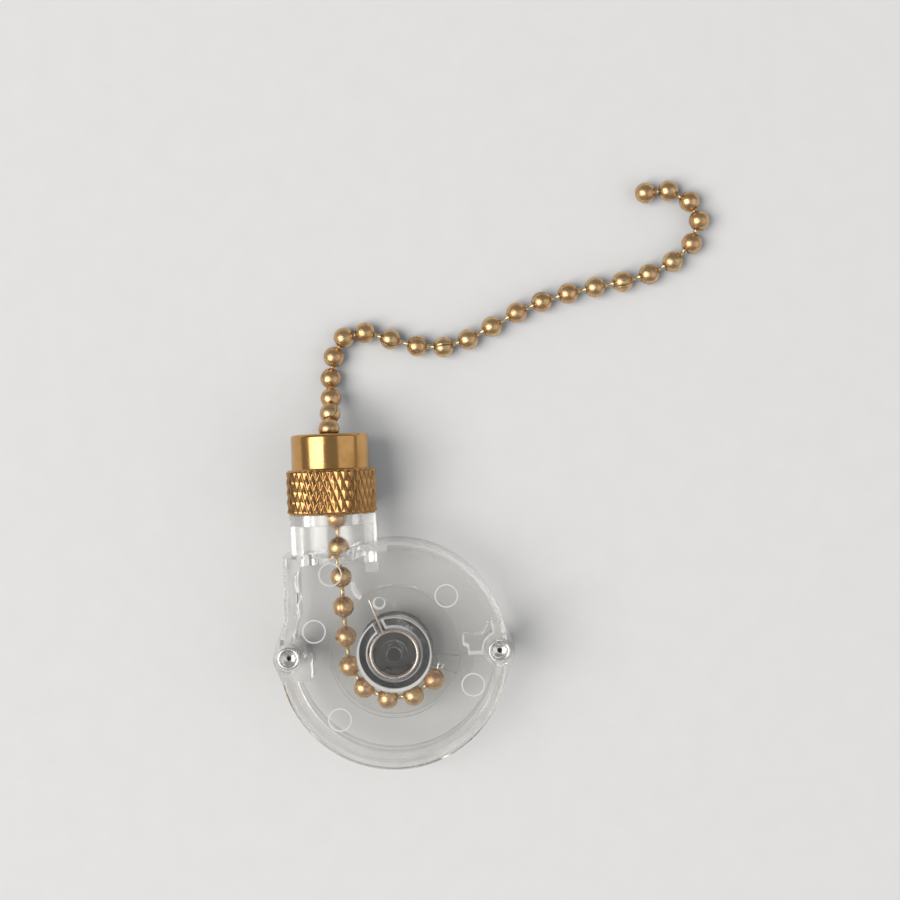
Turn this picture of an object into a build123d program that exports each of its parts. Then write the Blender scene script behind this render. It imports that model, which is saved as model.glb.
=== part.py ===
from build123d import *
from math import acos, asin, atan2, cos, degrees, hypot, pi, radians, sin
import os

# Chain pull switch, lying on its back with the window up. Millimetres.
# +Z leaves the window, +Y runs along the neck, and the drum axis is the Z axis.

# Case
depth = 11.6
plate = 1.2
wall = 1.2
disc_r = 12.6
left_wall_x = -11.8
shoulder_y = 11.4
rim_bevel = 0.45
lip_height = 1.2
lip_thickness = 0.55
lip_gap = 0.05
corner_r = 1.3
bump_y = 6.6
bump_r = 0.6

# Ears and eyelets
rivet_x = 11.65
ear_r = 1.75
boss_foot_x = -9.3
boss_foot_y = -2.5
spot_r = 1.5
eyelet_r = 0.85
eyelet_bore_r = 0.62
eyelet_head_r = 1.1
eyelet_head = 0.32

# Neck and nut
neck_x = -6.5
neck_r = 4.9
neck_bore_r = 3.65
neck_top = 15.6
stub_r = 3.6
stub_bore_r = 2.3
stub_length = 6.4
thread_gap = 0.06
nut_gap = 0.05
knurl_r = 5.08
knurl_height = 5.05
collar_r = 4.4
collar_height = 3.95
nut_roof = 2.0
nut_chamfer = 0.3
collar_bevel = 0.6
chain_hole_r = 1.6

# Bead chain
bead_r = 1.2
bead_sides = 10
bead_pole_r = 0.4
link_r = 0.26
link_sides = 6
link_gap = 0.12
taut_gap = 0.95
free_gap = 0.85
bunched_gap = 0.1
wrapped_gap = 0.55
bunching_bend = 0.3
slack_run = 15
route_step = 0.02
free_bead_count = 24
run_bead_count = 8

# Drum
wrap_r = 5.4
drum_bead_count = 4
first_bead_past_tangent = 1.3
core_gap = 0.25
groove_gap = 0.2
flange = 0.8
flange_cover = 0.7
hub_r = 1.45
axle_r = 0.8
axle_gap = 0.05
layer_gap = 0.3
pull_angle = 60
stop_gap = 0.1
lug_reach = 1.5
lug_angle = 14
anchor_angle = 16
anchor_gap = 0.35
anchor_bite = 0.5

# Front shell features
cup_gap = 0.21
cup_wall = 1.17
cup_slot = 0.95
cup_slot_angle = 116
peg_x = -1.45
peg_y = 5.74
peg_r = 0.72
rib_x = -2.44
rib_y = 7.9
rib_r = 1.8
rib_thickness = 0.5
rib_from = 171
rib_to = 237
tab_x = -2.12
tab_width = 1.25
tab_foot_y = 9.2
stop_x = 7.6
stop_foot_y = -0.3
stop_height = 2.2
stop_step = 0.55
stop_flare = 1.2
ejector_r = 1.3
ejector_depth = 0.15
ejector_spots = [(6.0, 6.3), (-8.7, 2.9), (-6.2, -6.9), (-6.7, 9.1), (8.6, -3.6)]

# Return spring
wire_r = 0.16
wire_sides = 4
coil_r = 2.6
coil_turns = 3
tang_depth = 0.6
tang_gap = 0.12
leg_overrun = 0.7

# Contacts
teeth = 6
tooth_share = 0.2
tooth_gap_share = 0.1
tooth_width = 1.3
tooth_inner_r = 2.3
rotor_r = 4.15
star_share = 0.1
star_arm = 1.6
star_r = 4.0
contact_pitch_r = 3.0
contact_head_r = 0.95
contact_head_share = 0.2
contact_shank_r = 0.55
contact_recess_r = 1.1
contact_recess = 0.5
contact_touch = 0.03
contact_angles = (210, 330)
socket_depth = 0.6

# Levels, from the chain plane out to both walls. The contact works share the room behind the drum.
chain_z = depth / 2
ceiling = depth - plate
groove_low = chain_z - bead_r - groove_gap
groove_high = chain_z + bead_r + groove_gap
drum_low = groove_low - flange
drum_high = groove_high + flange
hub_top = ceiling - layer_gap
cup_foot = drum_high + layer_gap
contact_room = drum_low - plate
contact_head = contact_head_share * contact_room
tooth_height = tooth_share * contact_room
star_low = plate + contact_head + contact_touch
rotor_low = star_low + star_share * contact_room
rotor_high = drum_low - tooth_height - tooth_gap_share * contact_room
ear_low = plate
ear_high = ceiling
cup_inner_r = coil_r + wire_r + cup_gap
cup_outer_r = cup_inner_r + cup_wall
core_r = wrap_r - bead_r - core_gap
flange_r = wrap_r + bead_r + flange_cover
taut_pitch = 2 * bead_r + taut_gap
wrapped_pitch = 2 * bead_r + wrapped_gap
nut_foot = neck_top + nut_gap
nut_end = nut_foot + knurl_height + collar_height

# The taut run leaves the drum at a tangent and ends in the middle of the nut's hole
mouth_distance = hypot(neck_x, nut_end)
tangent_angle = atan2(nut_end, neck_x) + acos(wrap_r / mouth_distance)
tangent_point = Vector(wrap_r * cos(tangent_angle), wrap_r * sin(tangent_angle), chain_z)
run_direction = (Vector(neck_x, nut_end, chain_z) - tangent_point).normalized()

# The web that holds the chain's end stands just past the last bead on the drum
last_bead_angle = degrees(tangent_angle + (first_bead_past_tangent + drum_bead_count * wrapped_pitch) / wrap_r)
anchor_start = last_bead_angle + degrees((bead_r + anchor_gap) / wrap_r)

# Hand-chosen route of the free chain, from just outside the nut to the loose end
free_route = [
    (-6.45, 27.0, 4.05),
    (-6.4, 28.7, 2.3),
    (-6.4, 31.1, bead_r),
    (-4.3, 36.0, bead_r),
    (0.8, 35.3, bead_r),
    (6.6, 34.2, bead_r),
    (15.2, 37.8, bead_r),
    (24.8, 40.5, bead_r),
    (33.9, 43.3, bead_r),
    (36.8, 47.8, bead_r),
    (33.4, 51.3, bead_r),
    (30.4, 51.0, bead_r),
    (27.0, 49.6, bead_r),
]


def at_angle(radius, angle, z):
    return Vector(radius * cos(radians(angle)), radius * sin(radians(angle)), z)


def upright(radius, low, high, x=0, y=0):
    """Cylinder along Z between two levels."""
    return Pos(x, y, low) * Cylinder(radius, high - low, align=(Align.CENTER, Align.CENTER, Align.MIN))


def along_neck(radius, low, high):
    """Cylinder on the neck's axis between two places along Y."""
    body = Cylinder(radius, high - low, align=(Align.CENTER, Align.CENTER, Align.MIN))
    return Pos(neck_x, low, chain_z) * Rot(-90, 0, 0) * body


def block(x_low, x_high, y_low, y_high, z_low, z_high):
    size = Box(x_high - x_low, y_high - y_low, z_high - z_low, align=(Align.MIN, Align.MIN, Align.MIN))
    return Pos(x_low, y_low, z_low) * size


def slab(profile, low, high):
    return Pos(0, 0, low) * extrude(profile, amount=high - low)


def sector(inner, outer, start, sweep, low, high):
    """Part of a ring, from one angle over a sweep, between two levels."""
    reach = 2 * outer
    wedge = Polygon(
        (0, 0),
        (reach * cos(radians(start)), reach * sin(radians(start))),
        (reach * cos(radians(start + sweep)), reach * sin(radians(start + sweep))),
        align=None,
    )
    return slab((Circle(outer) - Circle(inner)) & wedge, low, high)


def outline(inset=0):
    """Plan of the case: a disc with a square shoulder under the neck."""
    width = neck_x + neck_r - left_wall_x - 2 * inset
    shoulder = Rectangle(width, shoulder_y - inset, align=(Align.MIN, Align.MIN))
    return Circle(disc_r - inset) + Pos(left_wall_x + inset, 0) * shoulder


def hollow_outline():
    """Plan of the room inside, with its corner by the neck rounded."""
    room = outline(wall)
    corner = room.vertices().sort_by(Axis((0, 0, 0), (1, -1, 0)))[0]
    return fillet(corner, corner_r)


def stop_outline():
    """Stepped block by the right-hand ear, flared into the wall above."""
    top = stop_foot_y + stop_height
    middle = stop_foot_y + stop_height / 2
    return Polygon(
        (stop_x, top),
        (stop_x, middle),
        (stop_x + stop_step, middle - stop_step / 2),
        (stop_x + stop_step, stop_foot_y),
        (rivet_x, stop_foot_y),
        (rivet_x, top + stop_flare),
        (stop_x + stop_height + stop_flare / 2, top + stop_flare),
        (stop_x + stop_height, top),
        align=None,
    )


def ear_outline():
    """Disc and both ears, joined by straight flanks."""
    circles = Circle(disc_r).edges()
    for side in (-1, 1):
        circles += (Pos(side * rivet_x, 0) * Circle(ear_r)).edges()
    return make_hull(circles)


def neck_tube():
    """Neck and the thinner stub that carries the nut, before the halves part."""
    tube = along_neck(neck_r, shoulder_y - wall, neck_top) + along_neck(stub_r, neck_top, neck_top + stub_length)
    tube -= along_neck(neck_bore_r, 0, neck_top - wall)
    return tube - along_neck(stub_bore_r, 0, neck_top + stub_length)


def half_case(low, high, floor, roof, keep):
    """One half of the case without its own features, hollow between floor and roof."""
    half = slab(outline(), low, high)
    flat = half.faces().sort_by(Axis.Z)[-1 if keep == Keep.TOP else 0]
    half = chamfer(flat.outer_wire().edges(), rim_bevel)
    half += slab(ear_outline(), max(low, ear_low), min(high, ear_high))
    half -= slab(hollow_outline(), floor, roof)
    half += split(neck_tube(), bisect_by=Plane.XY.offset(chain_z), keep=keep)
    half -= along_neck(neck_bore_r, shoulder_y - 2 * wall, neck_top - wall)
    half += block(-rivet_x, boss_foot_x, boss_foot_y, 0, floor, roof)
    for side in (-1, 1):
        half += upright(ear_r, max(low, ear_low), min(high, ear_high), side * rivet_x)
        half -= upright(spot_r, ear_high, depth, side * rivet_x)
        half -= upright(spot_r, 0, ear_low, side * rivet_x)
        half -= upright(eyelet_r, 0, depth, side * rivet_x)
    return half


def lip_ring(outer_inset, low, high):
    """The lap joint's step, left out at the rivet bosses and the neck."""
    ring = slab(outline(outer_inset), low, high) - slab(hollow_outline(), low, high)
    for side in (-1, 1):
        ring -= upright(ear_r + wall, low, high, side * rivet_x)
    return ring - block(left_wall_x, neck_x + neck_r + wall, shoulder_y - 2 * wall, neck_top, low, high)


def front_shell():
    shell = half_case(chain_z, depth, chain_z, ceiling, Keep.TOP)
    shell += lip_ring(wall - lip_thickness, chain_z - lip_height, chain_z)

    # Slotted cup round the return spring, and the peg that holds the spring's leg
    cup = upright(cup_outer_r, cup_foot, ceiling) - upright(cup_inner_r, cup_foot, ceiling)
    slot = block(0, 2 * cup_outer_r, -cup_slot / 2, cup_slot / 2, cup_foot, ceiling)
    shell += cup - Rot(0, 0, cup_slot_angle) * slot
    shell += upright(peg_r, cup_foot, ceiling, peg_x, peg_y)

    # Curved rib and the neck's foot, which guide the chain
    rib = sector(rib_r - rib_thickness / 2, rib_r + rib_thickness / 2, rib_from, rib_to - rib_from, cup_foot, ceiling)
    shell += Pos(rib_x, rib_y, 0) * rib
    tab_low = tab_x - tab_width / 2
    shell += block(tab_low, tab_low + tab_width, tab_foot_y, shoulder_y, chain_z, ceiling)

    # Stop block on the right-hand wall, a bump on the left-hand one, and the axle
    shell += slab(stop_outline(), groove_high, ceiling) - upright(eyelet_r, 0, depth, rivet_x)
    shell += upright(bump_r, cup_foot, ceiling, left_wall_x + wall, bump_y)
    shell += upright(axle_r, plate - socket_depth + axle_gap, ceiling)

    for x, y in ejector_spots:
        shell -= upright(ejector_r, ceiling, ceiling + ejector_depth, x, y)
    return shell


def rear_shell():
    shell = half_case(0, chain_z, plate, chain_z, Keep.BOTTOM)
    shell -= lip_ring(wall - lip_thickness - lip_gap, chain_z - lip_height - lip_gap, chain_z)
    shell -= upright(axle_r + axle_gap, plate - socket_depth, plate)
    for angle in contact_angles:
        place = at_angle(contact_pitch_r, angle, 0)
        shell -= upright(contact_shank_r, 0, plate, place.X, place.Y)
        shell -= upright(contact_recess_r, 0, contact_recess, place.X, place.Y)
    return shell


def eyelet(x):
    """Hollow rivet, rolled over both ledges of an ear."""
    rivet = upright(eyelet_r, ear_low, ear_high, x)
    rivet += upright(eyelet_head_r, ear_high, ear_high + eyelet_head, x)
    rivet += upright(eyelet_head_r, ear_low - eyelet_head, ear_low, x)
    return rivet - upright(eyelet_bore_r, 0, depth, x)


def knurled_nut():
    knurl = along_neck(knurl_r, nut_foot, nut_foot + knurl_height)
    knurl = chamfer(knurl.edges(), nut_chamfer)
    collar = along_neck(collar_r, nut_foot, nut_end)
    collar = chamfer(collar.edges().sort_by(Axis.Y)[-1], collar_bevel)
    nut = knurl + collar
    nut -= along_neck(stub_r + thread_gap, nut_foot, nut_end - nut_roof)
    return nut - along_neck(chain_hole_r, nut_foot, nut_end)


def ratchet_teeth(level, direction):
    """Ring of saw teeth on a level. Direction 1 stands them up, and -1 hangs them from the level."""
    profile = Polygon((0, 0), (direction * tooth_width, 0), (0, direction * tooth_height), align=None)
    tooth = extrude(Plane.XZ * profile, amount=rotor_r - axle_r - tooth_inner_r)
    tooth = Pos(0, -tooth_inner_r, level) * tooth
    return [Rot(0, 0, n * 360 / teeth) * tooth for n in range(teeth)]


def chain_drum():
    drum = upright(core_r, drum_low, drum_high)
    drum += upright(flange_r, drum_low, groove_low)
    drum += upright(flange_r, groove_high, drum_high)
    drum += upright(hub_r, drum_high, hub_top)

    # Stop lug on the front flange, just under the stop block
    lug_top = degrees(asin((stop_foot_y - stop_gap) / (stop_x + stop_step)))
    drum += sector(core_r, flange_r + lug_reach, lug_top - lug_angle, lug_angle, groove_high, drum_high)

    # Web between the flanges that holds the end of the chain
    drum += sector(core_r - flange, flange_r, anchor_start, anchor_angle, groove_low, groove_high)
    drum -= end_link(link_r + link_gap / 2)
    drum += ratchet_teeth(drum_low, -1)

    tang = at_angle(coil_r, cup_slot_angle, 0)
    drum -= upright(wire_r + tang_gap, drum_high - tang_depth - tang_gap, drum_high, tang.X, tang.Y)
    return drum - upright(axle_r + axle_gap, 0, depth)


def spring_wire(path):
    """Wire along a path, with a few flat sides."""
    section = Plane(path @ 0, z_dir=path % 0) * RegularPolygon(wire_r, wire_sides)
    return sweep(section, path=path, is_frenet=True)


def return_spring():
    """Coil in the cup, with a leg against the peg and a tang in the drum."""
    low = drum_high + 2 * wire_r
    high = ceiling - 3 * wire_r
    coil = spring_wire(Helix((high - low) / coil_turns, high - low, coil_r, center=(0, 0, low)))
    coil = Rot(0, 0, cup_slot_angle) * coil

    start = at_angle(coil_r, cup_slot_angle, high)
    to_peg = Vector(peg_x, peg_y, high) - start
    miss = peg_r + wire_r
    heading = atan2(to_peg.Y, to_peg.X) + asin(miss / to_peg.length)
    leg_length = (to_peg.length**2 - miss**2) ** 0.5 + leg_overrun
    leg = spring_wire(Line(start, start + leg_length * Vector(cos(heading), sin(heading), 0)))

    foot = at_angle(coil_r, cup_slot_angle, low)
    tang = spring_wire(Line(foot, foot - Vector(0, 0, low - drum_high + tang_depth)))
    return coil + leg + tang


def contact_rotor():
    rotor = upright(rotor_r, rotor_low, rotor_high)
    half_pitch = 180 / teeth
    rotor += [Rot(0, 0, half_pitch) * tooth for tooth in ratchet_teeth(rotor_high, 1)]
    return rotor - upright(axle_r + axle_gap, 0, depth)


def contact_star():
    arm = Rectangle(star_r, star_arm, align=(Align.MIN, Align.CENTER))
    plan = Circle(star_arm) + [Rot(0, 0, contact_angles[0] + n * 120) * arm for n in range(3)]
    plan = plan & Circle(star_r)
    return slab(plan - Circle(axle_r + axle_gap), star_low, rotor_low)


def fixed_contact(angle):
    """Stud through the rear wall, headed inside, with a short tail in the recess behind."""
    place = at_angle(contact_pitch_r, angle, 0)
    stud = upright(contact_head_r, plate, plate + contact_head, place.X, place.Y)
    return stud + upright(contact_shank_r, contact_recess / 2, plate, place.X, place.Y)


def bead_shape():
    """Bead with flat poles and flat facets between circles of latitude. Its axis is X."""
    pole = acos(bead_pole_r / bead_r)
    rings = []
    for share in (-1, -0.5, 0, 0.5, 1):
        latitude = share * pole
        radius = bead_r * cos(latitude)
        turns = [2 * pi * (n + 0.5) / bead_sides for n in range(bead_sides)]
        rings.append([Vector(bead_r * sin(latitude), radius * cos(t), radius * sin(t)) for t in turns])
    facets = [Face(Wire.make_polygon(ring)) for ring in (rings[0], rings[-1])]
    for low, high in zip(rings, rings[1:]):
        for n in range(bead_sides):
            after = (n + 1) % bead_sides
            facets.append(Face(Wire.make_polygon([low[n], low[after], high[after], high[n]])))
    return Solid(Shell(facets))


def free_places():
    """Bead centres along the free route: closer where it lies slack by the nut and where it bends."""
    mouth = run_bead(run_bead_count)
    route = Spline([mouth] + [Vector(*p) for p in free_route])
    places = [mouth]
    travelled = 0
    while len(places) < free_bead_count and travelled < route.length:
        ahead = min(travelled + bead_r, route.length)
        turn = (route % (travelled / route.length)).get_angle(route % (ahead / route.length))
        tightness = 1 if travelled < slack_run else min(radians(turn) / bead_r / bunching_bend, 1)
        pitch = 2 * bead_r + free_gap - tightness * (free_gap - bunched_gap)
        place = places[-1]
        while (place - places[-1]).length < pitch and travelled < route.length:
            travelled += route_step
            point = route @ (travelled / route.length)
            place = Vector(point.X, point.Y, max(point.Z, bead_r))
        places.append(place)
    return places


def run_bead(number):
    """Bead centre on the taut run. Number 0 is still on the drum, just past the tangent."""
    if number == 0:
        angle = degrees(tangent_angle + first_bead_past_tangent / wrap_r)
        return at_angle(wrap_r, angle, chain_z)
    return tangent_point + (number * taut_pitch - first_bead_past_tangent) * run_direction


def drum_bead(number):
    angle = degrees(tangent_angle + (first_bead_past_tangent + number * wrapped_pitch) / wrap_r)
    return at_angle(wrap_r, angle, chain_z)


def place_beads(places):
    """One bead at each place, each turned along the line between its neighbours."""
    shape = bead_shape()
    beads = []
    for n, place in enumerate(places):
        before = places[max(n - 1, 0)]
        after = places[min(n + 1, len(places) - 1)]
        along = (after - before).normalized()
        beads.append(Plane(place, x_dir=along, z_dir=along.cross(Vector(0, 0, 1)).cross(along)) * shape)
    return beads


def link(start, end, start_gap, end_gap, radius=link_r):
    """Straight shank between two bead centres, stopping short of each by its gap."""
    along = (end - start).normalized()
    first = start + start_gap * along
    last = end - end_gap * along
    return extrude(Plane(first, z_dir=along) * RegularPolygon(radius, link_sides), amount=(last - first).length)


def end_link(radius):
    """Last link, from the last bead on the drum into the web."""
    bite = at_angle(wrap_r, anchor_start + degrees(anchor_bite / wrap_r), chain_z)
    return link(drum_bead(drum_bead_count), bite, bead_r / 2, 0, radius)


def links_between(places, beads):
    """Links seated on the beads at both ends."""
    shanks = []
    for n in range(len(places) - 1):
        shank = link(places[n], places[n + 1], bead_r / 2, bead_r / 2)
        shanks.append(shank - beads[n] - beads[n + 1])
    return shanks


run_places = [run_bead(n) for n in range(run_bead_count)]
drum_places = [drum_bead(n + 1) for n in range(drum_bead_count)]
pull_places = free_places()
run_set = place_beads(run_places)
drum_set = place_beads(drum_places)
pull_set = place_beads(pull_places)

# The links between two sets stop just short of the set that moves another way
clear = bead_r + link_gap
mouth_link = link(run_places[-1], pull_places[0], bead_r / 2, clear) - run_set[-1]
lift_link = link(run_places[0], drum_places[0], clear, bead_r / 2) - drum_set[0]
last_link = end_link(link_r) - drum_set[-1]

pieces = {
    "front_shell": front_shell(),
    "rear_shell": rear_shell(),
    "left_rivet": eyelet(-rivet_x),
    "right_rivet": eyelet(rivet_x),
    "knurled_nut": knurled_nut(),
    "chain_drum": chain_drum(),
    "return_spring": return_spring(),
    "contact_rotor": contact_rotor(),
    "contact_star": contact_star(),
    "left_contact": fixed_contact(contact_angles[0]),
    "right_contact": fixed_contact(contact_angles[1]),
    "run_links": links_between(run_places, run_set) + [mouth_link],
    "drum_links": [lift_link] + links_between(drum_places, drum_set) + [last_link],
    "pull_links": links_between(pull_places, pull_set),
}
for name, beads in (("run", run_set), ("drum", drum_set), ("pull", pull_set)):
    for n, bead in enumerate(beads, 1):
        pieces[f"{name}_bead_{n:02d}"] = bead

os.makedirs("parts", exist_ok=True)
for name, piece in pieces.items():
    solids = piece if isinstance(piece, list) else [piece]
    export_step(Compound(children=[s for p in solids for s in p.solids()]), f"parts/{name}.step")
print("travel of the chain", round(wrap_r * radians(pull_angle), 3))
print("tangent", tangent_point, "run direction", run_direction)
print("free chain from", pull_places[0], "to", pull_places[-1], len(pull_places), "beads")
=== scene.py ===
# %% [markdown]
# # A pull-chain switch in a clear case
# The part is a small ceiling-fan switch: a clear moulded case in two halves, a brass nut with a
# diamond knurl, and a ball chain that winds on a sprung drum. The CAD frame gives every size and
# place, and this lesson dresses it with finer shapes and with materials made of nodes.

from math import asin, atan2, cos, radians, sin, tau

import bmesh
import bpy
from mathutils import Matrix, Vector


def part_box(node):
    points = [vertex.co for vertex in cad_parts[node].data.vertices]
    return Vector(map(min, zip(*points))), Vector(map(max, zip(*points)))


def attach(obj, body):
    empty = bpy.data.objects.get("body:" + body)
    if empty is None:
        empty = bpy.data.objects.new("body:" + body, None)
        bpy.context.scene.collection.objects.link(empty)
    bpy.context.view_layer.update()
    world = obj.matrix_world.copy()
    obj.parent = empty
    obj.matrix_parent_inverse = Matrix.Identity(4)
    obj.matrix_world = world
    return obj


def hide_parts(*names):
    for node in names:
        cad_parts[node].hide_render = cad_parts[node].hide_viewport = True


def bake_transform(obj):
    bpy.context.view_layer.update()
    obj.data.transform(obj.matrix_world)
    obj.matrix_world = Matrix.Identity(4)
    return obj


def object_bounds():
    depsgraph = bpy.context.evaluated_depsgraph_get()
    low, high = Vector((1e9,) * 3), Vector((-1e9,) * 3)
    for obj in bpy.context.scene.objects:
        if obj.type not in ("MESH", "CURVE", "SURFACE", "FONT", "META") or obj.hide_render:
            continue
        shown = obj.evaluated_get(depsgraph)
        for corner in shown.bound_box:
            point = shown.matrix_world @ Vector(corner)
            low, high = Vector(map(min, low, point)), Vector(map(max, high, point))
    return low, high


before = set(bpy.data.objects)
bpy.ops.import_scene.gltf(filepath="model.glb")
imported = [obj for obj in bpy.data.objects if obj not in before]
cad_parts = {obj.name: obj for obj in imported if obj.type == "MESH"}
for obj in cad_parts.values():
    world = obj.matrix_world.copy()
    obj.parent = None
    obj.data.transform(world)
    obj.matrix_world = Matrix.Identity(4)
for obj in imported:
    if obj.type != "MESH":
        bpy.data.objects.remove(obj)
cad_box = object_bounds()
MM = 0.001

# %% [markdown]
# ## Helpers for node trees
# Shaders and Geometry Nodes are both trees of nodes. One helper adds a node and fills its sockets,
# either with a plain value or with a wire from another node, and a short form of it makes a sum.
# Another opens a named group with its own inputs and outputs, so that a group can be used again
# with other values. Mix and Random Value repeat a label for each kind of data, so those sockets go
# by their number.


# %% Node helpers
COLOUR_A, COLOUR_B, MIXED_COLOUR = 6, 7, 2
MOST_DRAWN, DRAWN_NUMBER = 3, 1


def node(tree, kind, sockets=None, **settings):
    """Adds a node. Each socket, by its label or number, takes a value or another socket."""
    made = tree.nodes.new(kind)
    for name, value in settings.items():
        setattr(made, name, value)
    for name, value in (sockets or {}).items():
        if isinstance(value, bpy.types.NodeSocket):
            tree.links.new(value, made.inputs[name])
        else:
            made.inputs[name].default_value = value
    return made


def new_group(name, kind, inputs, outputs):
    """A node group. Inputs map a label to (kind, default), and outputs a label to its kind."""
    tree = bpy.data.node_groups.new(name, kind)
    for label, (socket_kind, default) in inputs.items():
        socket = tree.interface.new_socket(label, in_out="INPUT", socket_type=socket_kind)
        if default is not None:
            socket.default_value = default
    for label, socket_kind in outputs.items():
        tree.interface.new_socket(label, in_out="OUTPUT", socket_type=socket_kind)
    return tree, tree.nodes.new("NodeGroupInput"), tree.nodes.new("NodeGroupOutput")


def sums(tree, operation, *values):
    """One Math node on values or sockets."""
    return node(tree, "ShaderNodeMath", dict(enumerate(values)), operation=operation).outputs[0]


print("helpers ready")

# %% [markdown]
# ## Wear that several finishes share
# Moulded plastic, brass and nickel all carry the same two kinds of fine wear: hairline scratches in
# changing directions, and soft blotches from handling. Both could be painted by hand, but noise
# stretched along one axis gives scratches at any scale. The group puts out masks and a height only,
# so that each material keeps its own shader and decides what the wear does there.

# %% Wear group
FLOAT = "NodeSocketFloat"
wear, wear_in, wear_out = new_group(
    "Handling wear",
    "ShaderNodeTree",
    {"Scratch scale": (FLOAT, 300.0), "Blotch scale": (FLOAT, 250.0)},
    {"Scratches": FLOAT, "Blotches": FLOAT, "Height": FLOAT},
)
scratch_runs, line_width, scratch_height = ((0.5, 14.0), (1.9, 18.0)), 0.02, -0.15
blotch_from, blotch_to = 0.35, 0.7
object_place = node(wear, "ShaderNodeTexCoord").outputs["Object"]
scratch_sets = []
for turn, stretch in scratch_runs:
    turned = node(
        wear,
        "ShaderNodeMapping",
        {"Vector": object_place, "Rotation": (0.3, 0.4, turn), "Scale": (1.0, stretch, 3.0)},
    )
    hairs = node(
        wear,
        "ShaderNodeTexNoise",
        {"Vector": turned.outputs[0], "Scale": wear_in.outputs["Scratch scale"], "Detail": 3.0},
    )
    scratch_sets.append(sums(wear, "ABSOLUTE", sums(wear, "SUBTRACT", hairs.outputs[0], 0.5)))
near_line = sums(wear, "MINIMUM", *scratch_sets)
line_mask = node(
    wear,
    "ShaderNodeMapRange",
    {"Value": near_line, "From Max": line_width, "To Min": 1.0, "To Max": 0.0},
).outputs[0]
blotch = node(
    wear,
    "ShaderNodeTexNoise",
    {
        "Vector": object_place,
        "Scale": wear_in.outputs["Blotch scale"],
        "Detail": 4.0,
        "Roughness": 0.6,
    },
).outputs[0]
blotch_mask = node(
    wear, "ShaderNodeMapRange", {"Value": blotch, "From Min": blotch_from, "From Max": blotch_to}
).outputs[0]
height = sums(wear, "MULTIPLY_ADD", line_mask, scratch_height, blotch)
wear.links.new(line_mask, wear_out.inputs["Scratches"])
wear.links.new(blotch_mask, wear_out.inputs["Blotches"])
wear.links.new(height, wear_out.inputs["Height"])
print("wear group:", len(wear.nodes), "nodes")

# %% [markdown]
# ## Finishes
# Each finish is one Principled shader with the wear group on its colour, roughness and bump. The
# clear plastic is true refraction. A shadow ray can't bend, so Light Path makes the plastic let
# most of the light straight through to it, and what lies inside the case stays lit.


# %% Finish helper
scratch_roughness = 0.06


def finish(
    name, plain, colours, roughness, scratch_scale, blotch_scale, bump_mm, bump_strength=0.25
):
    """Principled material whose colour and roughness run between two values by the wear."""
    material = bpy.data.materials.new(name)
    material.use_nodes = True
    tree = material.node_tree
    shader = tree.nodes["Principled BSDF"]
    for label, value in plain.items():
        shader.inputs[label].default_value = value
    marks = node(tree, "ShaderNodeGroup", node_tree=wear)
    marks.inputs["Scratch scale"].default_value = scratch_scale
    marks.inputs["Blotch scale"].default_value = blotch_scale
    mix = node(tree, "ShaderNodeMix", data_type="RGBA")
    tree.links.new(marks.outputs["Blotches"], mix.inputs["Factor"])
    mix.inputs[COLOUR_A].default_value, mix.inputs[COLOUR_B].default_value = colours
    colour = mix.outputs[MIXED_COLOUR]
    tree.links.new(colour, shader.inputs["Base Color"])
    rough = node(
        tree,
        "ShaderNodeMapRange",
        {"Value": marks.outputs["Blotches"], "To Min": roughness[0], "To Max": roughness[1]},
    ).outputs[0]
    rough = sums(tree, "MULTIPLY_ADD", marks.outputs["Scratches"], scratch_roughness, rough)
    tree.links.new(rough, shader.inputs["Roughness"])
    bump = node(
        tree,
        "ShaderNodeBump",
        {"Strength": bump_strength, "Distance": bump_mm * MM, "Height": marks.outputs["Height"]},
    )
    tree.links.new(bump.outputs[0], shader.inputs["Normal"])
    return material, tree, shader, colour


print("finish helper ready")

# %% Clear and frosted plastic
plastic_ior, light_let_through = 1.49, 0.96
haze_from, haze_to, most_haze = 10.8 * MM, 12.0 * MM, 0.12
clear_plastic, tree, shader, _ = finish(
    "clear_moulding",
    {"Transmission Weight": 1.0, "IOR": plastic_ior},
    colours=((0.985, 0.982, 0.972, 1), (0.965, 0.96, 0.945, 1)),
    roughness=(0.01, 0.05),
    scratch_scale=160.0,
    blotch_scale=90.0,
    bump_mm=0.003,
    bump_strength=0.2,
)
axes = node(tree, "ShaderNodeSeparateXYZ", {0: node(tree, "ShaderNodeTexCoord").outputs["Object"]})
haze = node(
    tree,
    "ShaderNodeMapRange",
    {
        "Value": axes.outputs["Y"],
        "From Min": haze_from,
        "From Max": haze_to,
        "To Max": most_haze,
    },
).outputs[0]
polish = shader.inputs["Roughness"].links[0].from_socket
tree.links.new(sums(tree, "ADD", polish, haze), shader.inputs["Roughness"])
rays = node(tree, "ShaderNodeLightPath").outputs
lighting_ray = sums(tree, "MAXIMUM", rays["Is Shadow Ray"], rays["Is Diffuse Ray"])
opacity = sums(tree, "MULTIPLY_ADD", lighting_ray, -light_let_through, 1.0)
tree.links.new(opacity, shader.inputs["Alpha"])
frosted_plastic, *_ = finish(
    "frosted_moulding",
    {"Transmission Weight": 0.25, "IOR": plastic_ior},
    colours=((0.9, 0.9, 0.89, 1), (0.84, 0.84, 0.82, 1)),
    roughness=(0.32, 0.5),
    scratch_scale=300.0,
    blotch_scale=260.0,
    bump_mm=0.01,
)
matt_plastic, *_ = finish(
    "matt_parting",
    {"Transmission Weight": 0.72, "IOR": plastic_ior},
    colours=((0.93, 0.93, 0.92, 1), (0.88, 0.88, 0.86, 1)),
    roughness=(0.3, 0.5),
    scratch_scale=220.0,
    blotch_scale=180.0,
    bump_mm=0.01,
)
print("made", clear_plastic.name, frosted_plastic.name, matt_plastic.name)

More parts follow.
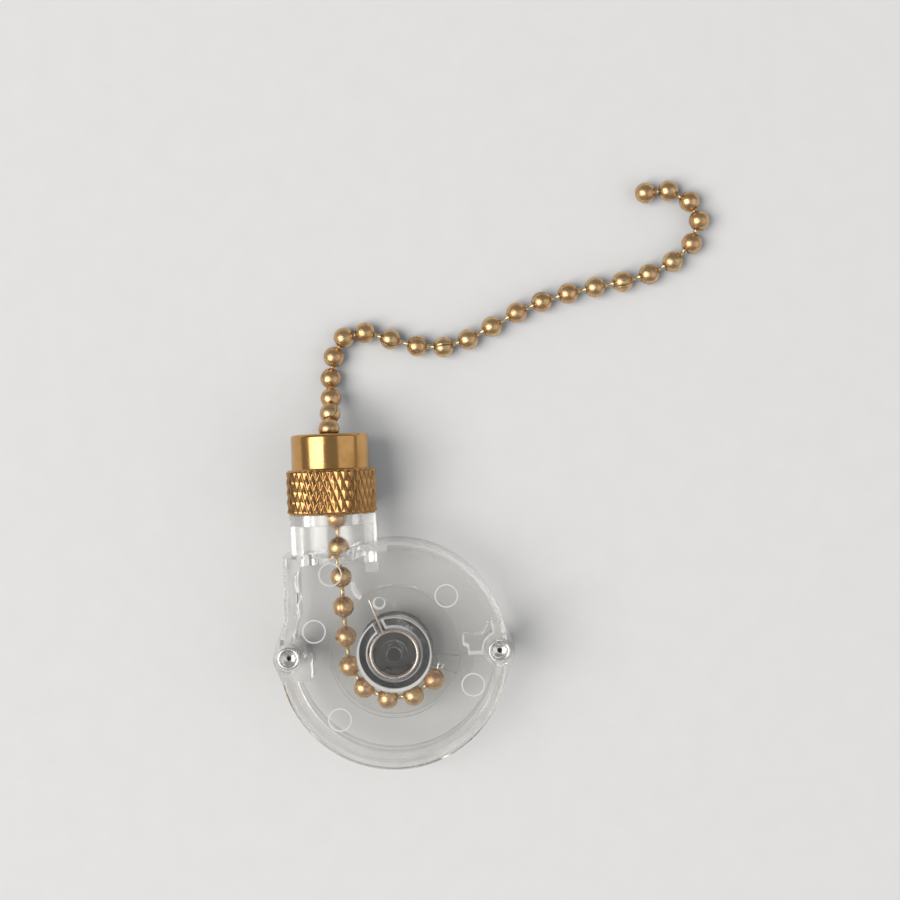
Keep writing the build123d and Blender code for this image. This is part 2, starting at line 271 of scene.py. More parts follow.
# %% Metals and the dark plastic
METAL = {"Metallic": 1.0}
nickel, *_ = finish(
    "nickel_eyelet",
    METAL,
    colours=((0.85, 0.84, 0.82, 1), (0.68, 0.67, 0.65, 1)),
    roughness=(0.16, 0.36),
    scratch_scale=900.0,
    blotch_scale=700.0,
    bump_mm=0.02,
)
spring_wire, *_ = finish(
    "drawn_spring_wire",
    METAL,
    colours=((0.66, 0.58, 0.53, 1), (0.5, 0.42, 0.38, 1)),
    roughness=(0.2, 0.38),
    scratch_scale=1200.0,
    blotch_scale=800.0,
    bump_mm=0.01,
)
contact_brass, *_ = finish(
    "stamped_contact",
    METAL,
    colours=((0.8, 0.58, 0.27, 1), (0.66, 0.45, 0.2, 1)),
    roughness=(0.22, 0.4),
    scratch_scale=700.0,
    blotch_scale=500.0,
    bump_mm=0.015,
)
dark_plastic, *_ = finish(
    "dark_moulding",
    {},
    colours=((0.035, 0.034, 0.033, 1), (0.06, 0.058, 0.055, 1)),
    roughness=(0.4, 0.58),
    scratch_scale=500.0,
    blotch_scale=400.0,
    bump_mm=0.02,
)
print("made", nickel.name, spring_wire.name, contact_brass.name, dark_plastic.name)

# %% [markdown]
# ### Brass that has aged
# The chain's brass is browner than the nut's and blotched, and it differs a little from bead to
# bead, because each was rolled from its own strip. The geometry stores marks that the materials
# read: a tint on every bead, the seam where its strip meets, painted dark as the shade in its slit,
# which wires are bare and pale, and how deep each point of the nut lies in the knurl, where shade
# is painted darker in the valleys.


# %% Chain brass and nut brass
def change_by_mark(tree, colour, mark, other, blend="MIX"):
    """A colour that goes over to another one by a mark that the geometry stored."""
    factor = node(tree, "ShaderNodeAttribute", attribute_name=mark).outputs["Fac"]
    sockets = {"Factor": factor, COLOUR_A: colour, COLOUR_B: other}
    mix = node(tree, "ShaderNodeMix", sockets, data_type="RGBA", blend_type=blend)
    return mix.outputs[MIXED_COLOUR]


pinker, pale_wire = (1.0, 0.9, 0.88, 1), (0.62, 0.48, 0.28, 1)
# Painted shade: the beads' seam slits and the knurl's valleys are painted dark, as shade falls in
# them.
seam_slit_shade, knurl_valley_shade = (0.1, 0.055, 0.025, 1), (0.26, 0.13, 0.05, 1)
chain_brass, tree, shader, colour = finish(
    "aged_chain",
    METAL,
    colours=((0.74, 0.53, 0.27, 1), (0.5, 0.32, 0.18, 1)),
    roughness=(0.18, 0.36),
    scratch_scale=900.0,
    blotch_scale=1700.0,
    bump_mm=0.05,
    bump_strength=0.4,
)
colour = change_by_mark(tree, colour, "tint", pinker, "MULTIPLY")
colour = change_by_mark(tree, colour, "wire", pale_wire)
# Painted shade along each bead's seam, where the slit would be dark.
colour = change_by_mark(tree, colour, "seam", seam_slit_shade)
tree.links.new(colour, shader.inputs["Base Color"])

nut_brass, tree, shader, colour = finish(
    "turned_nut",
    METAL,
    colours=((0.64, 0.37, 0.14, 1), (0.52, 0.28, 0.095, 1)),
    roughness=(0.11, 0.22),
    scratch_scale=500.0,
    blotch_scale=350.0,
    bump_mm=0.008,
)
# Painted shade: darker the deeper a point lies in the knurl's grooves.
colour = change_by_mark(tree, colour, "valley", knurl_valley_shade)
tree.links.new(colour, shader.inputs["Base Color"])
print("made", chain_brass.name, nut_brass.name)

# %% [markdown]
# ## Moulded pieces
# The clear halves, the drum and the inner plastic have the right shape in CAD, but their edges are
# mathematically sharp, and a sharp edge never catches light. A copy is merged, its flat facets are
# joined, and a narrow bevel rounds every edge, as the radius in a mould does. The normals that came
# with the CAD mesh no longer fit the merged one, so they go, and hardened ones keep the flat
# windows flat. That matters for anything that refracts.


# %% Pieces and rounded copies
def place_piece(name, mesh, slot, body, *nodes):
    """Puts a mesh in the scene, on its body if one is named, in the place of its CAD nodes."""
    piece = bpy.data.objects.new(name, mesh)
    bpy.context.scene.collection.objects.link(piece)
    if body:
        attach(piece, body)
    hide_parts(*nodes)
    print(name, len(mesh.polygons), "faces")
    return piece


def plain_mesh(maker, name):
    """The evaluated mesh of an object with modifiers. The maker itself is then removed."""
    graph = bpy.context.evaluated_depsgraph_get()
    mesh = bpy.data.meshes.new_from_object(maker.evaluated_get(graph))
    mesh.name = name
    bpy.data.objects.remove(maker)
    return mesh


def new_maker(mesh):
    """A bare object that carries modifiers until its mesh is taken."""
    maker = bpy.data.objects.new("maker", mesh)
    bpy.context.scene.collection.objects.link(maker)
    return maker


def merged_copy(cad_name):
    """Copy of a CAD node with its triangles joined and its flat facets merged."""
    work = bmesh.new()
    work.from_mesh(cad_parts[cad_name].data)
    bmesh.ops.remove_doubles(work, verts=work.verts, dist=0.002 * MM)
    bmesh.ops.dissolve_limit(work, angle_limit=radians(1), verts=work.verts, edges=work.edges)
    for face in work.faces:
        face.smooth = True
        face.material_index = 0
    return work


def rounded(work, name, edge_mm, *materials):
    """Plain mesh of a copy, with its edges rounded by a small bevel."""
    mesh = bpy.data.meshes.new(name)
    work.to_mesh(mesh)
    work.free()
    stale_normals = mesh.attributes.get("custom_normal")
    if stale_normals:
        mesh.attributes.remove(stale_normals)
    for material in materials:
        mesh.materials.append(material)
    maker = new_maker(mesh)
    bevel = maker.modifiers.new("Mould radius", "BEVEL")
    bevel.width = edge_mm * MM
    bevel.segments = 2
    bevel.limit_method = "ANGLE"
    bevel.angle_limit = radians(28)
    bevel.harden_normals = True
    return plain_mesh(maker, name)


print("rounding ready")

# %% [markdown]
# ### The clear halves
# The halves meet in one plane. Two clear faces in the very same place would trap the light between
# them, and real ones never touch all over, so each is set back by a hair. The front half's mating
# face is matt, so the wall reads as a pale band round the clear room. The mould's cores leave the
# rims of the cup, the peg, the rib and the stop frosted, and so too the steps that the ejector pins
# press. They scatter light, and show as pale lines behind the window.

# %% Clear halves
parting = (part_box("front_shell")[1][2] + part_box("rear_shell")[0][2]) / 2
window, neck_foot, parting_gap = 1.2 * MM, 10.0 * MM, 0.03 * MM
near_parting, same_level = 0.01 * MM, 0.001 * MM
clear_of_parting, clear_of_ceiling = 0.5 * MM, 0.2 * MM
shallowest_mark, deepest_mark = 0.1 * MM, 0.2 * MM
end_rim, mark_rim, rim_reach = 0.2 * MM, 0.13 * MM, 0.08 * MM
level_share, slope_share, shell_edge_mm = 0.97, 0.2, 0.07
CLEAR, FROSTED, MATT = 0, 1, 2
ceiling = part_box("front_shell")[1][2] - window


def open_parting(work, lift, material_index):
    """Sets a half's mating faces back by a hair, and gives them a material of their own."""
    level = parting + lift
    for vertex in work.verts:
        if abs(vertex.co.z - parting) < near_parting:
            vertex.co.z = level
    for face in work.faces:
        off_level = abs(face.calc_center_median().z - level)
        if abs(face.normal.z) > level_share and off_level < same_level:
            face.material_index = material_index


def faces_down(work, low, high):
    """Flat faces in the room behind the window that look down, between two levels."""
    found = []
    for face in work.faces:
        place = face.calc_center_median()
        if face.normal.z < -level_share and low < place.z < high and place.y < neck_foot:
            found.append(face)
    return found


work = merged_copy("front_shell")
open_parting(work, parting_gap, MATT)
ends = faces_down(work, parting + clear_of_parting, ceiling - clear_of_ceiling)
marks = faces_down(work, ceiling + shallowest_mark, ceiling + deepest_mark)
end_levels = [face.calc_center_median().z for face in ends]
for faces, width in ((ends, end_rim), (marks, mark_rim)):
    rims = bmesh.ops.inset_individual(work, faces=faces, thickness=width, use_even_offset=True)
    for face in rims["faces"]:
        face.material_index = FROSTED
shell_finishes = (clear_plastic, frosted_plastic, matt_plastic)
front = rounded(work, "clear_front_shell", shell_edge_mm, *shell_finishes)
for face in front.polygons:
    near_end = min(abs(face.center.z - level) for level in end_levels) < rim_reach
    slopes_down = -level_share < face.normal.z < -slope_share
    if near_end and slopes_down and face.center.y < neck_foot:
        face.material_index = FROSTED
print("frosted ends:", len(end_levels), "ejector marks:", len(marks))
place_piece("clear_front_shell", front, "clear_plastic", "housing", "front_shell")
work = merged_copy("rear_shell")
open_parting(work, -parting_gap, CLEAR)
rear = rounded(work, "clear_rear_shell", shell_edge_mm, clear_plastic)
place_piece("clear_rear_shell", rear, "clear_plastic", "housing", "rear_shell")

# %% Drum, rotor, star and contact studs
small_pieces = (
    ("clear_drum", "chain_drum", 0.07, clear_plastic, "clear_plastic", "drum"),
    ("ratchet_rotor", "contact_rotor", 0.08, dark_plastic, "dark_plastic", "rotor"),
    ("star_plate", "contact_star", 0.05, contact_brass, "contact_brass", "rotor"),
    ("left_contact_stud", "left_contact", 0.1, contact_brass, "contact_brass", "housing"),
    ("right_contact_stud", "right_contact", 0.1, contact_brass, "contact_brass", "housing"),
)
for name, cad_name, edge_mm, material, slot, body in small_pieces:
    mesh = rounded(merged_copy(cad_name), name, edge_mm, material)
    place_piece(name, mesh, slot, body, cad_name)

# %% [markdown]
# ## Turned shapes
# Beads, eyelets and the nut are all round about an axis, so one helper turns a profile of (radius,
# height) points into a closed mesh. Spin could do it too, but it leaves doubles at the seam.


# %% Lathe helper
def around(sides):
    """Even turns for the lathe, in radians."""
    return [tau * n / sides for n in range(sides)]


def lathe(profile, turns, closed):
    """Mesh turned about +Z. A closed profile is a ring, and an open one ends on the axis."""
    work = bmesh.new()
    rings, sides = [], len(turns)
    for radius, height in profile:
        if radius == 0:
            rings.append([work.verts.new((0, 0, height))])
        else:
            ring = [(radius * cos(t), radius * sin(t), height) for t in turns]
            rings.append([work.verts.new(point) for point in ring])
    uppers = rings[1:] + rings[:1] if closed else rings[1:]
    for low, high in zip(rings, uppers):
        for n in range(sides):
            after = (n + 1) % sides
            below = [low[n % len(low)], low[after % len(low)]]
            above = [high[after % len(high)], high[n % len(high)]]
            work.faces.new(list(dict.fromkeys(below + above)))
    bmesh.ops.recalc_face_normals(work, faces=work.faces)
    for face in work.faces:
        face.smooth = True
    mesh = bpy.data.meshes.new("turned")
    work.to_mesh(mesh)
    work.free()
    return mesh


def arc(centre, radius, start, end, steps):
    """Points of an arc for a profile, with angles in degrees."""
    angles = [radians(start + (end - start) * n / steps) for n in range(steps + 1)]
    return [(centre[0] + radius * cos(a), centre[1] + radius * sin(a)) for a in angles]


print("lathe ready")

# %% [markdown]
# ## The ball chain
# Each ball is a hollow bead rolled from strip, with a fine seam where the strip meets and a small
# turned-in hole at both ends, and a dumbbell wire joins each two. Placing seventy shapes by hand
# would be slow, so one Geometry Nodes tree sets a bead on every bead point and a wire on every link
# point, along the chain. It draws a tint and a turn about the chain for each from a fixed seed. The
# points come from the CAD beads' own boxes.


# %% Bead and wire shapes, one unit in radius and length
def marked(mesh, mark, points):
    """Stores a mark of 1 on the numbered points of a mesh. It is 0 on the rest."""
    values = mesh.attributes.new(mark, "FLOAT", "POINT").data
    for n in points:
        values[n].value = 1.0
    return mesh


def both_ends(middle, end):
    """A profile with the same end above its middle and, mirrored, below it."""
    return [(radius, -height) for radius, height in reversed(end)] + middle + end


hole, hole_latitude, bead_steps, bead_sides = 0.34, 68, 14, 28
seam_reach, seam_turn, seam_depth, on_seam = 0.45, radians(4), 0.05, 0.001
bead_end = [(hole, 0.92), (hole * 0.85, 0.8), (hole * 0.55, 0.66), (0, 0.62)]
bead_belly = arc((0, 0), 1, -hole_latitude, hole_latitude, bead_steps)
bead_turns = [0, seam_turn, *around(bead_sides)[1:], tau - seam_turn]
bead_mesh = lathe(both_ends(bead_belly, bead_end), bead_turns, closed=False)
# The seam points are marked, and the chain's material paints shade on them.
seam = [v.index for v in bead_mesh.vertices if v.co.x > seam_reach and abs(v.co.y) < on_seam]
for n in seam:
    bead_mesh.vertices[n].co *= 1 - seam_depth
bead_shape = new_maker(marked(bead_mesh, "seam", seam))
waist, flare, wire_sides = 0.85, 1.25, 12
wire_end = [(waist, 0.36), (flare, 0.46), (flare, 0.5), (0, 0.5)]
wire_mesh = lathe(both_ends([], wire_end), around(wire_sides), closed=False)
wire_shape = new_maker(marked(wire_mesh, "wire", range(len(wire_mesh.vertices))))
print("bead", len(bead_mesh.polygons), "faces, wire", len(wire_mesh.polygons), "faces")

# %% Bead chain tree
GEOMETRY, OBJECT = "NodeSocketGeometry", "NodeSocketObject"
MATERIAL, INT = "NodeSocketMaterial", "NodeSocketInt"
bead_radius, wire_radius, spin_seed_step = 1.2 * MM, 0.3 * MM, 100
strand, strand_in, strand_out = new_group(
    "Bead chain",
    "GeometryNodeTree",
    {
        "Geometry": (GEOMETRY, None),
        "Bead shape": (OBJECT, None),
        "Wire shape": (OBJECT, None),
        "Bead radius": (FLOAT, bead_radius),
        "Wire radius": (FLOAT, wire_radius),
        "Seed": (INT, 7),
        "Finish": (MATERIAL, None),
    },
    {"Geometry": GEOMETRY},
)
given = strand_in.outputs


def stored(tree, name, kind):
    """What the points carry under a name."""
    named = node(tree, "GeometryNodeInputNamedAttribute", {"Name": name}, data_type=kind)
    return named.outputs["Attribute"]


def end_tree(tree, geometry, material, group_out):
    """Every tree here ends in real geometry that carries its material."""
    real = node(tree, "GeometryNodeRealizeInstances", {"Geometry": geometry}).outputs[0]
    coated = node(tree, "GeometryNodeSetMaterial", {"Geometry": real, "Material": material})
    tree.links.new(coated.outputs[0], group_out.inputs["Geometry"])


set_along = node(
    strand,
    "FunctionNodeAlignRotationToVector",
    {"Vector": stored(strand, "along", "FLOAT_VECTOR")},
    axis="Z",
).outputs[0]
spin_seed = sums(strand, "ADD", given["Seed"], spin_seed_step)
spin = node(
    strand, "FunctionNodeRandomValue", {MOST_DRAWN: tau, "Seed": spin_seed}, data_type="FLOAT"
).outputs[DRAWN_NUMBER]
own_turn = node(
    strand, "FunctionNodeAxisAngleToRotation", {"Axis": (0, 0, 1), "Angle": spin}
).outputs[0]
turned = node(
    strand,
    "FunctionNodeRotateRotation",
    {"Rotation": set_along, "Rotate By": own_turn},
    rotation_space="LOCAL",
).outputs[0]
reach = stored(strand, "reach", "FLOAT")
is_wire = sums(strand, "GREATER_THAN", reach, 0.0)
is_bead = sums(strand, "SUBTRACT", 1.0, is_wire)
thick = given["Wire radius"]
wire_size = node(strand, "ShaderNodeCombineXYZ", {"X": thick, "Y": thick, "Z": reach}).outputs[0]
bead_set = (is_bead, "Bead shape", given["Bead radius"])
wire_set = (is_wire, "Wire shape", wire_size)
joined = node(strand, "GeometryNodeJoinGeometry")
for chosen, shape, size in (bead_set, wire_set):
    model = node(strand, "GeometryNodeObjectInfo", {"Object": given[shape]}).outputs["Geometry"]
    placed = node(
        strand,
        "GeometryNodeInstanceOnPoints",
        {
            "Points": given["Geometry"],
            "Selection": chosen,
            "Instance": model,
            "Rotation": turned,
            "Scale": size,
        },
    )
    strand.links.new(placed.outputs[0], joined.inputs[0])
drawn = node(strand, "FunctionNodeRandomValue", {"Seed": given["Seed"]}, data_type="FLOAT")
tinted = node(
    strand,
    "GeometryNodeStoreNamedAttribute",
    {"Geometry": joined.outputs[0], "Name": "tint", "Value": drawn.outputs[DRAWN_NUMBER]},
    domain="INSTANCE",
)
end_tree(strand, tinted.outputs[0], given["Finish"], strand_out)
print("bead chain tree:", len(strand.nodes), "nodes")


# %% Setting a tree's inputs
def run_tree(mesh, tree, **values):
    """A plain mesh from a Geometry Nodes tree, with its inputs set by socket identifier."""
    maker = new_maker(mesh)
    modifier = maker.modifiers.new("tree", "NODES")
    modifier.node_group = tree
    sockets = {s.name: s.identifier for s in tree.interface.items_tree if s.in_out == "INPUT"}
    for label, value in values.items():
        modifier[sockets[label.replace("_", " ")]] = value
    return plain_mesh(maker, mesh.name)


print("tree runner ready")


# %% Chain points, one set for each body
def centre(cad_name):
    """The middle of a CAD node's box."""
    low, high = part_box(cad_name)
    return (Vector(low) + Vector(high)) / 2


def kept_inside(place):
    """A CAD bead has facets, so a true ball at the hook is brought a hair into the CAD box."""
    limits = zip(place, *cad_box)
    return Vector([min(max(p, low + bead_radius), high - bead_radius) for p, low, high in limits])


def bead_centres(prefix):
    """Names and places of the CAD beads of one length of chain."""
    names = sorted(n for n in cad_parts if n.startswith(prefix))
    return names, [kept_inside(centre(n)) for n in names]


def points_mesh(name, rows):
    """Loose points with a direction each, and a reach that is 0 for a bead."""
    mesh = bpy.data.meshes.new(name)
    mesh.from_pydata([place for place, _, _ in rows], [], [])
    mesh.attributes.new("along", "FLOAT_VECTOR", "POINT")
    mesh.attributes.new("reach", "FLOAT", "POINT")
    for n, (_, direction, length) in enumerate(rows):
        mesh.attributes["along"].data[n].vector = direction
        mesh.attributes["reach"].data[n].value = length
    return mesh


def bead_rows(places):
    """Beads that point from the one before them to the one after."""
    befores = places[:1] + places[:-1]
    afters = places[1:] + places[-1:]
    return [(p, (b - a).normalized(), 0.0) for p, a, b in zip(places, befores, afters)]


def wire_row(first, last, inset):
    """A wire between two bead centres, that starts and ends inside their holes."""
    along = (last - first).normalized()
    length = (last - first).length - 2 * inset
    return ((first + last) / 2, along, length)


inset, last_wire = 0.86 * bead_radius, 2.6 * MM
run_names, run_places = bead_centres("run_bead")
drum_names, drum_places = bead_centres("drum_bead")
free_names, free_places = bead_centres("pull_bead")
wrap_r = Vector(drum_places[-1][:2]).length
end_angle = atan2(drum_places[-1].y, drum_places[-1].x) + last_wire / wrap_r
end_place = Vector((wrap_r * cos(end_angle), wrap_r * sin(end_angle), drum_places[-1].z))
wires = {
    "run": list(zip(run_places, run_places[1:] + free_places[:1])),
    "drum": list(zip(run_places[:1] + drum_places, drum_places + [end_place])),
    "free": list(zip(free_places, free_places[1:])),
}
chain_sets = {
    "run": ("chain_run", run_names + ["run_links"], run_places, 3),
    "drum": ("drum", drum_names + ["drum_links"], drum_places, 11),
    "free": ("chain_free", free_names + ["pull_links"], free_places, 5),
}
for name, (body, replaced, places, seed) in chain_sets.items():
    rows = bead_rows(places) + [wire_row(a, b, inset) for a, b in wires[name]]
    mesh = run_tree(
        points_mesh(f"{name}_chain", rows),
        strand,
        Bead_shape=bead_shape,
        Wire_shape=wire_shape,
        Bead_radius=bead_radius,
        Wire_radius=wire_radius,
        Seed=seed,
        Finish=chain_brass,
    )
    place_piece(f"{name}_chain", mesh, "chain_brass", body, *replaced)
for shape in (bead_shape, wire_shape):
    bpy.data.objects.remove(shape)

# %% [markdown]
# ## The knurled nut
# The nut is turned from brass bar: a collar with a rounded rim, and a band rolled between knurling
# wheels. The wheels press two sets of crossing grooves, which leave rows of small pyramids. Bump
# could fake that, but the band is the nicest thing to look at here and its outline shows, so the
# tree really moves the points. Each set of grooves is a wave of flat slopes, and the deeper of the
# two counts. One wheel bites deeper, so the light runs along its grooves in leaning strokes.

# %% Knurl tree
teeth, skin = 39, 0.002 * MM
knurl, knurl_in, knurl_out = new_group(
    "Diamond knurl",
    "GeometryNodeTree",
    {
        "Geometry": (GEOMETRY, None),
        "Teeth round": (FLOAT, float(teeth)),
        "Rows": (FLOAT, 2.0),
        "Depth": (FLOAT, 0.25 * MM),
        "Cross share": (FLOAT, 0.78),
        "Band foot": (FLOAT, 0.3 * MM),
        "Band height": (FLOAT, 4.45 * MM),
        "Band radius": (FLOAT, 5.08 * MM),
        "Finish": (MATERIAL, None),
    },
    {"Geometry": GEOMETRY},
)
given = knurl_in.outputs
place = node(knurl, "GeometryNodeInputPosition").outputs[0]
axes = node(knurl, "ShaderNodeSeparateXYZ", {0: place}).outputs
turn = sums(knurl, "DIVIDE", sums(knurl, "ARCTAN2", axes["Y"], axes["X"]), tau)
round_share = sums(knurl, "MULTIPLY", turn, given["Teeth round"])
above_foot = sums(knurl, "SUBTRACT", axes["Z"], given["Band foot"])
band_share = sums(knurl, "DIVIDE", above_foot, given["Band height"])
row_share = sums(knurl, "MULTIPLY", band_share, given["Rows"])
grooves = []
for operation, share in (("ADD", 1.0), ("SUBTRACT", given["Cross share"])):
    line = sums(knurl, operation, round_share, row_share)
    nearness = sums(knurl, "MULTIPLY_ADD", sums(knurl, "PINGPONG", line, 0.5), -2.0, 1.0)
    grooves.append(sums(knurl, "MULTIPLY", nearness, share))
groove = sums(knurl, "MAXIMUM", *grooves)
across = node(knurl, "ShaderNodeCombineXYZ", {"X": axes["X"], "Y": axes["Y"]}).outputs[0]
radius = node(knurl, "ShaderNodeVectorMath", {0: across}, operation="LENGTH").outputs["Value"]
under_skin = sums(knurl, "SUBTRACT", given["Band radius"], skin)
on_skin = sums(knurl, "GREATER_THAN", radius, under_skin)
depth_share = sums(knurl, "MULTIPLY", groove, on_skin)
sunk = sums(knurl, "MULTIPLY", sums(knurl, "MULTIPLY", depth_share, given["Depth"]), -1.0)
outward = node(knurl, "ShaderNodeVectorMath", {0: across}, operation="NORMALIZE").outputs[0]
inward = node(
    knurl, "ShaderNodeVectorMath", {0: outward, "Scale": sunk}, operation="SCALE"
).outputs[0]
# The groove depth is stored as valley, and the nut's material paints shade darker there.
noted = node(
    knurl,
    "GeometryNodeStoreNamedAttribute",
    {"Geometry": given["Geometry"], "Name": "valley", "Value": depth_share},
)
pressed = node(knurl, "GeometryNodeSetPosition", {"Geometry": noted.outputs[0], "Offset": inward})
end_tree(knurl, pressed.outputs[0], given["Finish"], knurl_out)
print("knurl tree:", len(knurl.nodes), "nodes")

# %% The nut's profile, in millimetres from its foot
nut_low, nut_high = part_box("knurled_nut")
nut_length = (nut_high[1] - nut_low[1]) / MM
band_r = (nut_high[0] - nut_low[0]) / 2 / MM
collar_r, bore_r, hole_r = 4.4, 3.66, 1.6
band_top, roof, edge, rim = 5.05, 2.0, 0.3, 0.38
bore_edge, inner_corner, hole_edge = 0.15, 0.12, 0.25
face_r, slope_r, slope = band_r - edge - 0.1, band_r - edge + 0.05, 0.06
band_rows, sides_each_tooth = 36, 16
nut_profile = [(bore_r, bore_edge), (bore_r + bore_edge, 0), (face_r, 0), (slope_r, slope)]
for n in range(band_rows + 1):
    nut_profile.append((band_r, edge + (band_top - 2 * edge) * n / band_rows))
corner = (collar_r + inner_corner, band_top + inner_corner)
nut_profile += [(slope_r, band_top - slope), (face_r, band_top)]
nut_profile += arc(corner, inner_corner, 270, 180, 3)
nut_profile += arc((collar_r - rim, nut_length - rim), rim, 0, 90, 8)
nut_profile += arc((hole_r + hole_edge, nut_length - hole_edge), hole_edge, 90, 180, 4)
nut_profile += [(hole_r, nut_length - roof), (bore_r, nut_length - roof)]
nut_turns = around(teeth * sides_each_tooth)
nut_mesh = lathe([(r * MM, h * MM) for r, h in nut_profile], nut_turns, closed=True)
nut_mesh = run_tree(nut_mesh, knurl, Finish=nut_brass, Band_radius=band_r * MM)
nut_axis_x = (nut_low[0] + nut_high[0]) / 2
nut_axis_z = (nut_low[2] + nut_high[2]) / 2


def stand_along_y(point):
    """Turns a shape made on +Z so that it points along +Y, and puts it on the nut's axis."""
    return (nut_axis_x + point.x, nut_low[1] + point.z, nut_axis_z - point.y)


for vertex in nut_mesh.vertices:
    vertex.co = stand_along_y(vertex.co)
place_piece("brass_nut", nut_mesh, "polished_brass", "nut", "knurled_nut")

# %% [markdown]
# ## Eyelets
# Two hollow rivets hold the halves together. Each starts as a thick tube whose ends are dished and
# rolled over the ledges of an ear. Both ends are alike, so one half of the profile is written as
# (radius, depth) and used twice. One turned shape is set on two points by a small tree.

# %% Eyelet shape and tree
rivet_low, rivet_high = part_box("left_rivet")
tube_bottom, tube_top = rivet_low[2] / MM, rivet_high[2] / MM
bore, throat, barrel, lip_r, lip = 0.24, 0.86, 0.82, 1.26, 0.3
bore_start, tuck_in, tuck_up, eyelet_sides = 0.72, 0.02, 0.03, 40
dish = [(0.28, 0.55), (0.44, 0.49), (0.63, 0.42), (0.78, 0.32)]
roll = (lip_r - throat) / 2
end_profile = [(bore, bore_start), *dish]
end_profile += [(r, roll - h) for r, h in arc((throat + roll, 0), roll, 180, 0, 12)]
end_profile += [(lip_r - tuck_in, lip), (barrel, lip + tuck_up)]
eyelet_profile = [(r, tube_bottom + depth) for r, depth in end_profile]
eyelet_profile += [(r, tube_top - depth) for r, depth in reversed(end_profile)]
eyelet_rings = [(r * MM, h * MM) for r, h in eyelet_profile]
eyelet_shape = new_maker(lathe(eyelet_rings, around(eyelet_sides), closed=True))
setting, setting_in, setting_out = new_group(
    "Set on points",
    "GeometryNodeTree",
    {"Geometry": (GEOMETRY, None), "Shape": (OBJECT, None), "Finish": (MATERIAL, None)},
    {"Geometry": GEOMETRY},
)
given = setting_in.outputs
model = node(setting, "GeometryNodeObjectInfo", {"Object": given["Shape"]}).outputs["Geometry"]
placed = node(
    setting, "GeometryNodeInstanceOnPoints", {"Points": given["Geometry"], "Instance": model}
)
end_tree(setting, placed.outputs[0], given["Finish"], setting_out)
print("eyelet", len(eyelet_shape.data.polygons), "faces, tree:", len(setting.nodes), "nodes")

# %% Eyelets
rivet_places = [centre("left_rivet"), centre("right_rivet")]
spots = bpy.data.meshes.new("eyelets")
spots.from_pydata([(place.x, place.y, 0) for place in rivet_places], [], [])
eyelets = run_tree(spots, setting, Shape=eyelet_shape, Finish=nickel)
place_piece("eyelets", eyelets, "plated_steel", "housing", "left_rivet", "right_rivet")
bpy.data.objects.remove(eyelet_shape)

# %% [markdown]
# ## The return spring
# Three turns of round wire sit in the slotted cup. One end leans on a peg of the case and the other
# dips into the drum, so the coil winds up as the chain is pulled. The path is a formula, and a tree
# gives it a round section.

# %% Spring path
wire_r, coil_r, turns_count, steps_each = 0.16, 2.6, 3, 40
slot_angle = radians(116)
peg = Vector((-1.45, 5.74))
peg_r, overrun, tang = 0.72, 0.7, 0.92
spring_low, spring_high = (corner[2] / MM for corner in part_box("return_spring"))
coil_top = spring_high - wire_r
coil_foot = spring_low + tang
path = [(coil_r * cos(slot_angle), coil_r * sin(slot_angle), spring_low)]
for n in range(turns_count * steps_each + 1):
    angle = slot_angle + tau * n / steps_each
    share = n / (turns_count * steps_each)
    height = coil_foot + share * (coil_top - coil_foot)
    path.append((coil_r * cos(angle), coil_r * sin(angle), height))
to_peg = peg - Vector(path[-1][:2])
miss = peg_r + wire_r
heading = atan2(to_peg.y, to_peg.x) + asin(miss / to_peg.length)
leg = (to_peg.length**2 - miss**2) ** 0.5 + overrun
path.append((path[-1][0] + leg * cos(heading), path[-1][1] + leg * sin(heading), coil_top))
spring_line = bpy.data.meshes.new("spring")
path_steps = [(n, n + 1) for n in range(len(path) - 1)]
spring_line.from_pydata([Vector(p) * MM for p in path], path_steps, [])
print("spring path:", len(path), "points")

# %% Wire tree
wired, wired_in, wired_out = new_group(
    "Round wire",
    "GeometryNodeTree",
    {
        "Geometry": (GEOMETRY, None),
        "Wire radius": (FLOAT, wire_r * MM),
        "Finish": (MATERIAL, None),
    },
    {"Geometry": GEOMETRY},
)
given = wired_in.outputs
line = node(wired, "GeometryNodeMeshToCurve", {"Mesh": given["Geometry"]})
section = node(
    wired, "GeometryNodeCurvePrimitiveCircle", {"Resolution": 12, "Radius": given["Wire radius"]}
)
tube = node(
    wired,
    "GeometryNodeCurveToMesh",
    {"Curve": line.outputs[0], "Profile Curve": section.outputs[0], "Fill Caps": True},
)
end_tree(wired, tube.outputs[0], given["Finish"], wired_out)
spring_mesh = run_tree(spring_line, wired, Wire_radius=wire_r * MM, Finish=spring_wire)
spring_mesh.shade_smooth()
coil = place_piece("spring_coil", spring_mesh, "spring_steel", None, "return_spring")
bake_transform(coil)

# %% [markdown]
# ## Floor, light and camera
# The switch lies on its back on a pale sheet, seen from straight above. One large soft lamp stands
# to the left, so that shadows fall to the right, and a weaker one fills from the other side. The
# world adds an even grey.

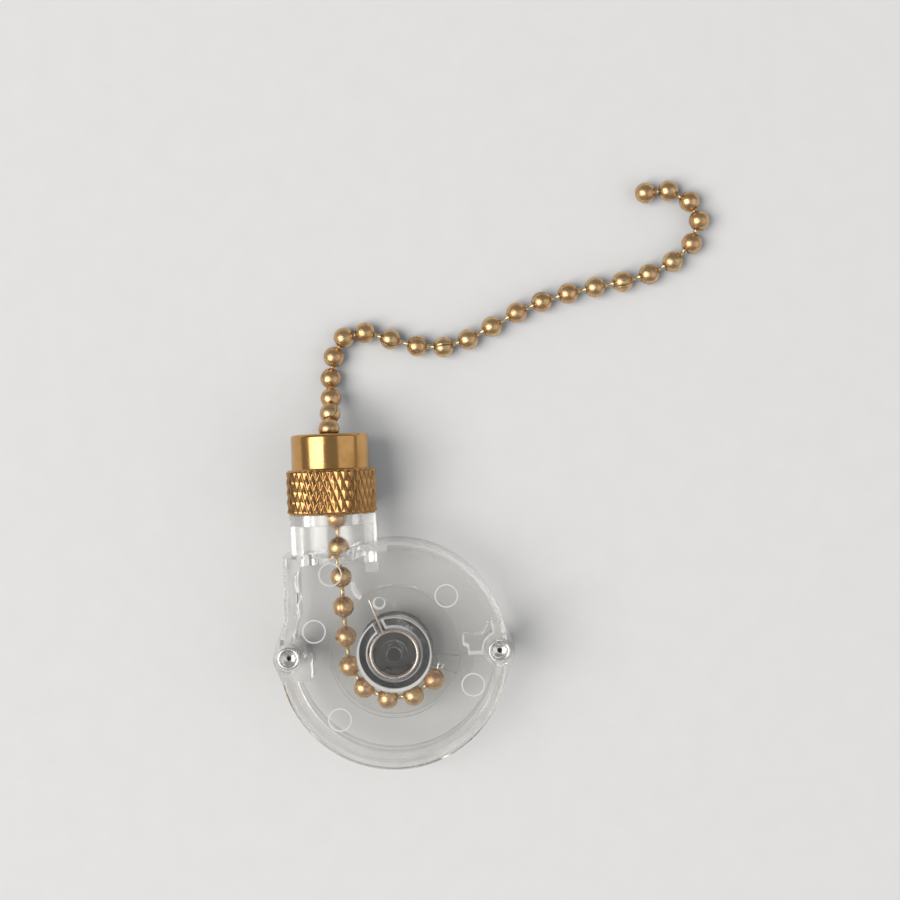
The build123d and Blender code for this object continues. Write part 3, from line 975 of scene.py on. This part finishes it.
# %% Floor
floor_mesh = bpy.data.meshes.new("floor")
half, floor_gap = 1.5, 0.02 * MM
floor_corners = [(-half, -half, 0), (half, -half, 0), (half, half, 0), (-half, half, 0)]
floor_mesh.from_pydata(floor_corners, [], [(0, 1, 2, 3)])
floor = bpy.data.objects.new("floor", floor_mesh)
bpy.context.scene.collection.objects.link(floor)
floor.location.z = -floor_gap
paper = bpy.data.materials.new("pale_paper")
paper.use_nodes = True
tree = paper.node_tree
shader = tree.nodes["Principled BSDF"]
shader.inputs["Roughness"].default_value = 0.85
shader.inputs["Specular IOR Level"].default_value = 0.2
sheet_place = node(tree, "ShaderNodeTexCoord").outputs["Object"]
fibre = node(tree, "ShaderNodeTexNoise", {"Vector": sheet_place, "Scale": 300.0, "Detail": 3.0})
darker_sheet, paler_sheet = (0.77, 0.765, 0.755, 1), (0.81, 0.805, 0.795, 1)
sheet_shades = {"Factor": fibre.outputs[0], COLOUR_A: darker_sheet, COLOUR_B: paler_sheet}
shade = node(tree, "ShaderNodeMix", sheet_shades, data_type="RGBA").outputs[MIXED_COLOUR]
tree.links.new(shade, shader.inputs["Base Color"])
floor_mesh.materials.append(paper)
print("floor", 2 * half, "m wide")

# %% Lamps and world
lit_place = Vector((5, 20, 5)) * MM


def soft_lamp(name, place_mm, size_mm, watts, colour=(1, 1, 1)):
    """A square lamp that faces the switch."""
    data = bpy.data.lights.new(name, "AREA")
    data.size = size_mm * MM
    data.energy = watts
    data.color = colour
    lamp = bpy.data.objects.new(name, data)
    lamp.location = Vector(place_mm) * MM
    aim = lit_place - lamp.location
    lamp.rotation_euler = aim.to_track_quat("-Z", "Y").to_euler()
    bpy.context.scene.collection.objects.link(lamp)


soft_lamp("key_lamp", (-1000, -160, 1360), size_mm=1360, watts=25.6, colour=(1.0, 0.98, 0.95))
soft_lamp("fill_lamp", (1200, -240, 960), size_mm=1600, watts=4.5)
world = bpy.data.worlds.new("studio")
world.use_nodes = True
background = world.node_tree.nodes["Background"]
background.inputs["Color"].default_value = (0.95, 0.97, 1.0, 1)
background.inputs["Strength"].default_value = 0.3
bpy.context.scene.world = world
bpy.context.scene.view_settings.view_transform = "Standard"
cycles = bpy.context.scene.cycles
cycles.transparent_max_bounces = 32
cycles.transmission_bounces = 24
cycles.max_bounces = 24
cycles.glossy_bounces = 16
cycles.caustics_refractive = False
cycles.caustics_reflective = False
print("two lamps and an even world")

# %% Camera
camera_data = bpy.data.cameras.new("camera")
camera_data.lens = 73.1
camera_data.sensor_width = 36
camera_data.sensor_fit = "HORIZONTAL"
camera = bpy.data.objects.new("camera", camera_data)
camera.location = Vector((7.03, 22.32, 212)) * MM
camera.rotation_euler = (0, 0, radians(-2.2))
bpy.context.scene.collection.objects.link(camera)
bpy.context.scene.camera = camera
print("camera", tuple(round(c, 4) for c in camera.location))
